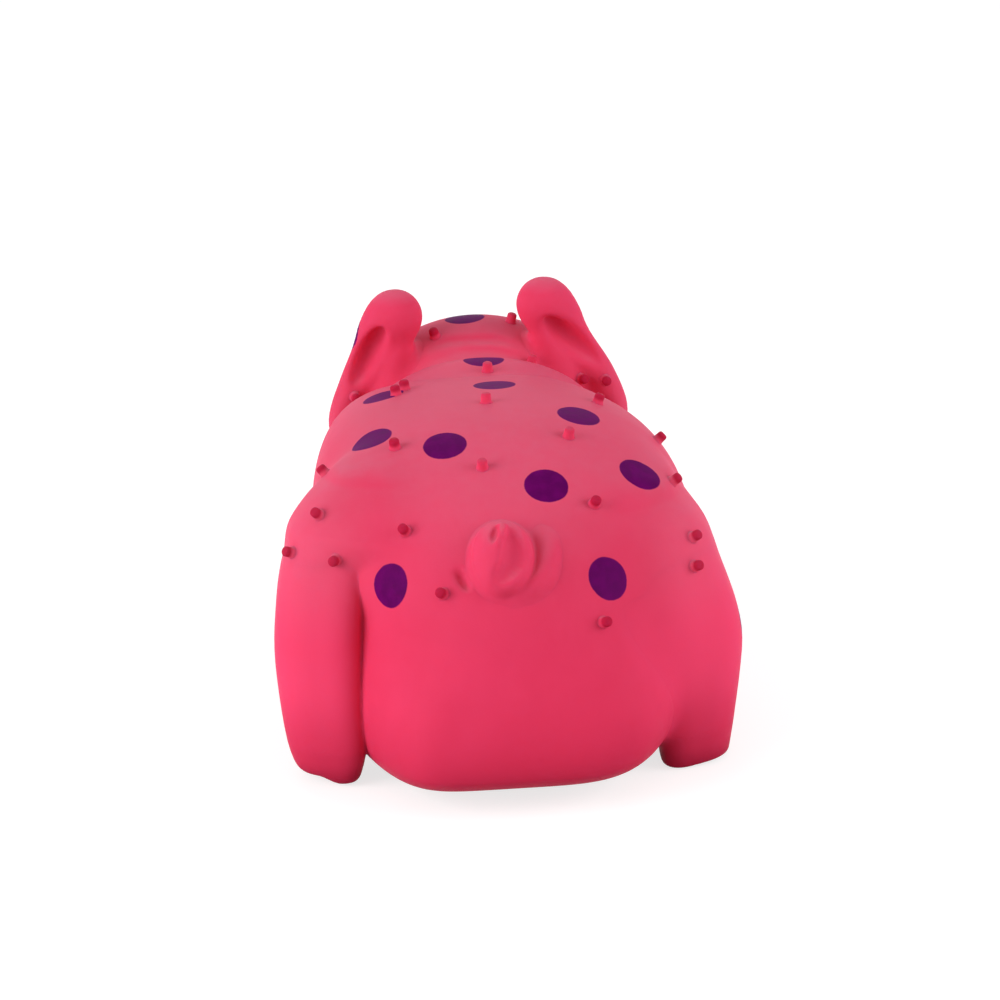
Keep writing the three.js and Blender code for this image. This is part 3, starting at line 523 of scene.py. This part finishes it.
# Pieces

FIELD_MOST = 10.0      # distances past this are cut off, as only the surface matters


def surface_of(field, low, high, voxel):
    """Points and quads of the closed surface of a field between two corners."""
    axes = [np.arange(a, b + voxel, voxel, dtype=np.float32) for a, b in zip(low, high)]
    x, y, z = np.meshgrid(*axes, indexing="ij")
    grid = openvdb.FloatGrid(background=FIELD_MOST)
    grid.copyFromArray(np.clip(field(x, y, z), -FIELD_MOST, FIELD_MOST).astype(np.float32))
    points, quads = grid.convertToQuads(0.0)
    points = np.asarray(points, float) * voxel + np.array([a[0] for a in axes], float)
    return onto(field, points, most=0.4 * voxel), np.asarray(quads).tolist()


def make_piece(name, field, low, high, voxel, nubs):
    """A closed mesh of a field between two corners, with its nubs."""
    points, faces = surface_of(field, low, high, voxel)
    peg = np.zeros(len(points))
    for place in nubs:
        faces += [[corner + len(points) for corner in face] for face in nub_faces()]
        points = np.vstack([points, nub_points(field, place)])
        peg = np.append(peg, nub_heights(place))
    mesh = bpy.data.meshes.new(name)
    mesh.from_pydata((points * MM).tolist(), [], faces)
    mesh.shade_smooth()
    store_paint(mesh, points, peg)
    piece = bpy.data.objects.new(name, mesh)
    bpy.context.scene.collection.objects.link(piece)
    return piece


def around(center, reach):
    center = np.array(center, float)
    return center - reach, center + reach


def add_form(name, replaced, field, corners, voxel):
    """A skin with its nubs that stands for some nodes, which are hidden."""
    piece = make_piece(f"{name}_form", field, *corners, voxel, NUBS.get(name, ()))
    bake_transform(piece)
    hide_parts(*replaced)
    return piece


def add_torso():
    """The torso's skin with the haunches over the hind legs, standing for the torso's skin, back and
    filling.
    """
    corners = (-74, TORSO_Y - 86, -3), (74, TORSO_Y + 86, 106)
    return add_form("torso",
                    ("torso_skin", "back_skin", "torso_fill"), torso_with_haunches, corners, 1.2)


def add_head():
    corners = (-58, HEAD_Y - 52, 18), (58, HEAD_Y + 50, 112)
    return add_form("head",
                    ("head_skin", "head_fill"), head_on_torso, corners, 1.1)


def add_ear(label, side):
    corners = around((side * 32, HEAD_Y - 7, 92), (28, 20, 34))
    return add_form(f"{label}_ear",
                    (f"{label}_ear",), ear_on_head(side), corners, 0.7)


def add_leg(label, pair, side, form):
    half_height = form["line"][-1, 0] / 2
    corners = around((side * form["toe_x"], form["y"], half_height), (40, 56, half_height + 22))
    return add_form(f"{label}_{pair}_leg",
                    (f"{label}_{pair}_leg", f"{label}_{pair}_fill"), leg_on_torso(side, form), corners, 0.9)


def add_tail():
    return add_form("tail",
                    ("tail",), tail_on_torso, around(TAIL_AT, (26, 26, 26)), 0.5)


pieces = [add_torso(), add_head()]
for label, side, hind in (("left", -1, HIND_LEFT), ("right", 1, HIND_RIGHT)):
    pieces.append(add_ear(label, side))
    pieces.append(add_leg(label, "hind", side, hind))
    pieces.append(add_leg(label, "front", side, FRONT))
pieces.append(add_tail())


# Materials

class Nodes:
    """A material's nodes, added and linked by name."""

    def __init__(self, name):
        self.material = bpy.data.materials.new(name)
        self.material.use_nodes = True
        self.tree = self.material.node_tree
        self.shader = self.tree.nodes["Principled BSDF"]

    def add(self, kind, inputs=(), **settings):
        node = self.tree.nodes.new(f"ShaderNode{kind}")
        for key, value in settings.items():
            setattr(node, key, value)
        for key, value in dict(inputs).items():
            self.feed(node.inputs[key], value)
        return node

    def feed(self, socket, value):
        if isinstance(value, bpy.types.NodeSocket):
            self.tree.links.new(value, socket)
        else:
            socket.default_value = value

    def noise(self, scale, detail=3.0):
        place = self.add("TexCoord").outputs["Object"]
        inputs = {"Vector": place, "Scale": scale, "Detail": detail, "Roughness": 0.5}
        return self.add("TexNoise", inputs).outputs["Fac"]

    def math(self, operation, a, b):
        return self.add("Math", {0: a, 1: b}, operation=operation).outputs[0]

    def ranged(self, value, low, high, to_low=0.0, to_high=1.0):
        inputs = {"Value": value, "From Min": low, "From Max": high, "To Min": to_low, "To Max": to_high}
        return self.add("MapRange", inputs, interpolation_type="SMOOTHSTEP").outputs["Result"]

    def mixed(self, factor, a, b):
        node = self.add("Mix", data_type="RGBA")
        for socket, value in zip((node.inputs[0], node.inputs[6], node.inputs[7]), (factor, a, b)):
            self.feed(socket, value)
        return node.outputs[2]

    def attribute(self, name):
        return self.add("Attribute", attribute_name=name).outputs["Fac"]

    def bump(self, height, strength, distance):
        inputs = {"Height": height, "Strength": strength, "Distance": distance}
        return self.add("Bump", inputs).outputs["Normal"]

    def finish(self, **sockets):
        for key, value in sockets.items():
            self.feed(self.shader.inputs[key.replace("_", " ")], value)
        return self.material


PINK = (0.77, 0.046, 0.125, 1)
DEEP_PINK = (0.72, 0.038, 0.106, 1)
# painted light: a brighter pink for the lit sides
LIT_SIDE_PINK = (0.95, 0.075, 0.185, 1)
# dust and a painted sheen: a paler, greyer pink
DUST_AND_SHEEN_PINK = (0.66, 0.165, 0.25, 1)
# painted shade: a darker red for the parts low down
LOW_SHADE_RED = (0.50, 0.014, 0.05, 1)
# painted shade: the darkest red, at the soles
SOLE_SHADE_RED = (0.30, 0.006, 0.03, 1)
DARK_RED = (0.42, 0.006, 0.04, 1)
PURPLE = (0.105, 0.0006, 0.09, 1)
LIGHT_PURPLE = (0.135, 0.001, 0.11, 1)
EYE_WHITE = (0.85, 0.83, 0.80, 1)
PUPIL_BLACK = (0.012, 0.010, 0.012, 1)


def pink_latex(n, mottle):
    """Patchy pink, brighter at the sides by painted light, paler on top with dust and a painted sheen,
    darker towards the floor by painted shade, and darker at the nubs' tips.
    """
    height = n.attribute("height")
    aside = n.attribute("aside")
    pink = n.mixed(n.ranged(n.noise(28), 0.3, 0.7), PINK, DEEP_PINK)
    # painted light: the sides turn brighter pink where the side lamps fall on them
    painted_side_light = n.math("MULTIPLY", n.ranged(aside, 42, 58, 0, 0.5), n.ranged(height, 90, 70))
    pink = n.mixed(painted_side_light, pink, LIT_SIDE_PINK)
    # dust and painted sheen: paler pink on upward faces and the upper sides, partly the latex's dusty bloom
    # and partly a painted sheen of light
    dust_and_sheen_aside = n.math("MULTIPLY", n.ranged(aside, 34, 56, 0.07, 0.28), n.ranged(height, 42, 72))
    dust_and_sheen = n.math("ADD", n.ranged(n.attribute("upward"), 0.5, 1.05, 0, 0.38), dust_and_sheen_aside)
    dust_and_sheen = n.math("MULTIPLY", dust_and_sheen, n.ranged(mottle, 0.2, 0.8, 0.85, 1.1))
    pink = n.mixed(dust_and_sheen, pink, DUST_AND_SHEEN_PINK)
    # painted shade: the skin turns darker red towards the floor, where less light reaches
    pink = n.mixed(n.ranged(height, 34, 6, 0, 0.6), pink, LOW_SHADE_RED)
    # painted shade: the skin turns darkest red at the soles, next to the floor
    pink = n.mixed(n.ranged(height, 9, 0, 0, 0.6), pink, SOLE_SHADE_RED)
    return n.mixed(n.ranged(n.attribute("peg"), 0.6, 2.0, 0, 0.85), pink, DARK_RED)


def with_dots(n, skin, mottle):
    """Purple dots with slightly uneven edges, which leave the nubs bare."""
    uneven = n.math("MULTIPLY", n.math("SUBTRACT", n.noise(420, 2), 0.5), 0.3)
    edge = n.math("ADD", n.attribute("dot"), uneven)
    paint = n.math("MULTIPLY", n.ranged(edge, 0.22, -0.22), n.ranged(n.attribute("peg"), 0.3, 0.1))
    purple = n.mixed(n.ranged(mottle, 0.35, 0.7), PURPLE, LIGHT_PURPLE)
    return n.mixed(paint, skin, purple)


def with_face(n, skin):
    """Darker nostrils and mouth, and painted eyes."""
    skin = n.mixed(n.ranged(n.attribute("opening"), 0.5, -0.5, 0, 0.8), skin, DARK_RED)
    skin = n.mixed(n.ranged(n.attribute("eye"), 0.2, -0.2), skin, EYE_WHITE)
    return n.mixed(n.ranged(n.attribute("pupil"), 0.2, -0.2), skin, PUPIL_BLACK)


def latex_skin():
    n = Nodes("latex")
    mottle = n.noise(240, 4)
    skin = with_face(n, with_dots(n, pink_latex(n, mottle), mottle))
    fine_grain = n.math("MULTIPLY", n.noise(1500), 0.6)
    grain = n.math("ADD", fine_grain, n.math("MULTIPLY", n.noise(380, 2), 0.8))
    return n.finish(Base_Color=skin, Roughness=n.ranged(mottle, 0.2, 0.8, 0.46, 0.56),
                    Normal=n.bump(grain, 0.12, 0.0004), Specular_IOR_Level=0.02,
                    Subsurface_Weight=0.3, Subsurface_Radius=(1.0, 0.25, 0.2), Subsurface_Scale=0.002)


def grained(name, dark, light, roughness, scale, strength):
    n = Nodes(name)
    grain = n.noise(scale, 4)
    return n.finish(Base_Color=n.mixed(n.ranged(grain, 0.3, 0.7), (*dark, 1), (*light, 1)),
                    Roughness=n.ranged(grain, 0.2, 0.8, roughness - 0.06, roughness + 0.06),
                    Normal=n.bump(grain, strength, 0.0003))


latex = latex_skin()
for piece in pieces:
    piece.data.materials.append(latex)
white_plastic = grained("white_plastic", (0.80, 0.79, 0.75), (0.86, 0.85, 0.82), 0.42, 900, 0.15)
reed_plastic = grained("reed_plastic", (0.62, 0.42, 0.12), (0.70, 0.50, 0.18), 0.3, 500, 0.05)
felt = grained("felt", (0.36, 0.34, 0.31), (0.56, 0.54, 0.50), 0.95, 2600, 0.9)
for material, nodes in ((white_plastic, ("squeaker_cup", "squeaker_lid", "reed_tube", "reed_collar")),
                        (reed_plastic, ("reed_tongue",)), (felt, ("dust_felt",))):
    for node in nodes:
        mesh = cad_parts[node].data
        mesh.materials.clear()
        mesh.materials.append(material)


# Floor, light and camera, in metres

FLOOR_HALF = 6
LIGHT_AIM = Vector((0, -0.03, 0.05))
AMBIENT = 0.5


def studio_white(tree, plain, seen, mix):
    """Mixes what lights the toy with the white that the camera and the reflections see."""
    path = tree.nodes.new("ShaderNodeLightPath")
    seen_by = path.outputs["Is Camera Ray"]
    for ray in ("Is Glossy Ray", "Is Transmission Ray"):
        either = tree.nodes.new("ShaderNodeMath")
        either.operation = "MAXIMUM"
        tree.links.new(seen_by, either.inputs[0])
        tree.links.new(path.outputs[ray], either.inputs[1])
        seen_by = either.outputs[0]
    tree.links.new(seen_by, mix.inputs[0])
    tree.links.new(plain, mix.inputs[1])
    tree.links.new(seen, mix.inputs[2])


def floor_white():
    n = Nodes("floor")
    n.tree.nodes.remove(n.shader)
    speck = n.ranged(n.noise(60, 2), 0.3, 0.7)
    plain = n.add("BsdfDiffuse", {"Color": n.mixed(speck, (0.62, 0.62, 0.62, 1), (0.66, 0.66, 0.66, 1))})
    dim = n.add("BsdfDiffuse", {"Color": (0.42, 0.42, 0.42, 1)})
    glow = n.add("Emission", {"Color": (1, 1, 1, 1), "Strength": 0.74})
    seen = n.add("AddShader", {0: dim.outputs[0], 1: glow.outputs[0]})
    mix = n.add("MixShader")
    studio_white(n.tree, plain.outputs[0], seen.outputs[0], mix)
    n.tree.links.new(mix.outputs[0], n.tree.nodes["Material Output"].inputs["Surface"])
    return n.material


def add_floor():
    mesh = bpy.data.meshes.new("floor")
    corners = [(x * FLOOR_HALF, y * FLOOR_HALF, 0) for x, y in ((-1, -1), (1, -1), (1, 1), (-1, 1))]
    mesh.from_pydata(corners, [], [(0, 1, 2, 3)])
    mesh.materials.append(floor_white())
    floor = bpy.data.objects.new("floor", mesh)
    bpy.context.scene.collection.objects.link(floor)


def add_world():
    world = bpy.data.worlds.new("studio")
    bpy.context.scene.world = world
    world.use_nodes = True
    sky = world.node_tree
    ambient = sky.nodes["Background"]
    ambient.inputs["Color"].default_value = (1, 0.98, 0.98, 1)
    ambient.inputs["Strength"].default_value = AMBIENT
    white = sky.nodes.new("ShaderNodeBackground")
    white.inputs["Color"].default_value = (1, 1, 1, 1)
    mix = sky.nodes.new("ShaderNodeMixShader")
    studio_white(sky, ambient.outputs[0], white.outputs[0], mix)
    sky.links.new(mix.outputs[0], sky.nodes["World Output"].inputs["Surface"])


def area_light(name, place, size, power):
    data = bpy.data.lights.new(name, "AREA")
    data.size = size
    data.energy = power
    light = bpy.data.objects.new(name, data)
    bpy.context.scene.collection.objects.link(light)
    light.location = place
    light.rotation_euler = (LIGHT_AIM - Vector(place)).to_track_quat("-Z", "Y").to_euler()


add_floor()
add_world()
area_light("left_window", (-1.05, -0.5, 0.45), 0.9, 11)
area_light("right_window", (1.1, -0.5, 0.47), 0.9, 8.5)
area_light("front_window", (-0.2, 1.2, 1.0), 1.0, 3)

CAMERA_AZIMUTH = math.radians(-3.2)
CAMERA_ELEVATION = math.radians(19)
CAMERA_ROLL = math.radians(-2.3)
CAMERA_DISTANCE = 1.1
CAMERA_AIM = Vector((0, TORSO_Y - 30, 46)) * MM
PIXELS_PER_METRE = 3300          # at the toy, in the picture
PICTURE_UP = 118                 # pixels from the aim to the middle of the picture
PICTURE_LEFT = 7
SENSOR_WIDTH = 36
LENS_WIDTHS = 3.63               # focal length in widths of the sensor


def add_camera():
    flat = math.cos(CAMERA_ELEVATION)
    back = Vector((math.sin(CAMERA_AZIMUTH) * flat, -math.cos(CAMERA_AZIMUTH) * flat,
                   math.sin(CAMERA_ELEVATION)))
    level = Vector((0, 0, 1)).cross(back).normalized()
    plumb = back.cross(level)
    right = math.cos(CAMERA_ROLL) * level + math.sin(CAMERA_ROLL) * plumb
    above = -math.sin(CAMERA_ROLL) * level + math.cos(CAMERA_ROLL) * plumb
    place = CAMERA_AIM + back * CAMERA_DISTANCE
    middle = CAMERA_AIM + above * (PICTURE_UP / PIXELS_PER_METRE) - right * (PICTURE_LEFT / PIXELS_PER_METRE)
    ahead = (middle - place).normalized()
    across = ahead.cross(above).normalized()
    turn = Matrix((across, across.cross(ahead), -ahead)).transposed()
    camera = bpy.data.objects.new("camera", bpy.data.cameras.new("camera"))
    bpy.context.scene.collection.objects.link(camera)
    camera.matrix_world = Matrix.Translation(place) @ turn.to_4x4()
    camera.data.sensor_width = SENSOR_WIDTH
    camera.data.lens = SENSOR_WIDTH * LENS_WIDTHS
    bpy.context.scene.camera = camera


add_camera()
bpy.context.scene.view_settings.view_transform = "Standard"
